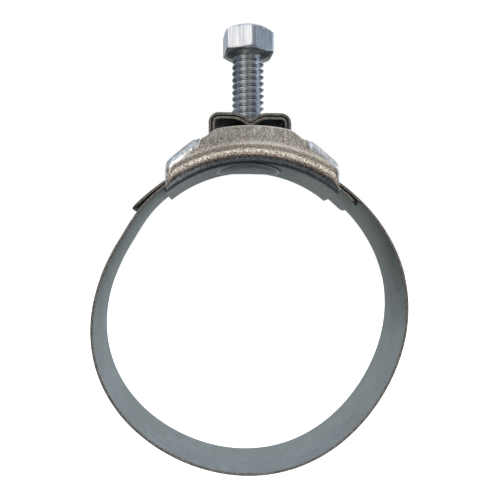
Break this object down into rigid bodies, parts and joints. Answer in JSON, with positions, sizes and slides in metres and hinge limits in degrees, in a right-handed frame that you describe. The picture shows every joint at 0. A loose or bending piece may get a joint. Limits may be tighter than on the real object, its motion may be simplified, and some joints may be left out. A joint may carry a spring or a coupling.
{
  "type": "hose clamp",
  "caption": "Tower hose clamp: a steel strap loop with free tabs, a pressed saddle and a hex screw that lifts the strap's tower to tighten the loop.",
  "frame": {"origin": "on the screw's axis, at the height of the loop's centre and halfway across the strap's width", "axes": "+Y along the hose that the clamp goes round, +Z out along the screw towards its head, +X to the side where the strap's inner tab shows"},
  "size_m": [0.0604, 0.0168, 0.0865],
  "materials": {
    "saddle_zinc": "bright zinc plate on pressed steel, finely speckled, with warm reflections along the rolled bends",
    "strap_steel": "satin grey galvanised strip with darker cut edges",
    "screw_zinc": "bluish bright zinc plate with drawn lines on the hexagon's faces"
  },
  "bodies": {
    "saddle": {"saddle": "saddle_zinc", "strap_loop": "strap_steel"},
    "tower": {"strap_tower_inner": "strap_steel", "strap_tower_outer": "strap_steel"},
    "screw": {"screw": "screw_zinc"},
    "inner_tab": {"strap_inner_tab": "strap_steel"},
    "outer_tab": {"strap_outer_tab": "strap_steel"}
  },
  "joints": [
    {"name": "screw_turn", "type": "hinge", "parent": "saddle", "child": "screw", "pos_m": [0, 0, 0.0515], "axis": [0, 0, -1], "range_deg": [0, 1620]},
    {"name": "tower_lift", "type": "slide", "parent": "saddle", "child": "tower", "axis": [0, 0, 1], "range_m": [0, 0.00571]},
    {"name": "inner_tab_draw", "type": "hinge", "parent": "saddle", "child": "inner_tab", "pos_m": [0, 0, 0.00305], "axis": [0, -1, 0], "range_deg": [0, 12.2]},
    {"name": "outer_tab_draw", "type": "hinge", "parent": "saddle", "child": "outer_tab", "pos_m": [0, 0, 0.00305], "axis": [0, 1, 0], "range_deg": [0, 11.9]}
  ],
  "couplings": [
    {"joint": "screw_turn", "follows": "tower_lift", "rad_per_m": 4947.4},
    {"joint": "inner_tab_draw", "follows": "tower_lift", "rad_per_m": 37.175},
    {"joint": "outer_tab_draw", "follows": "tower_lift", "rad_per_m": 36.298}
  ]
}
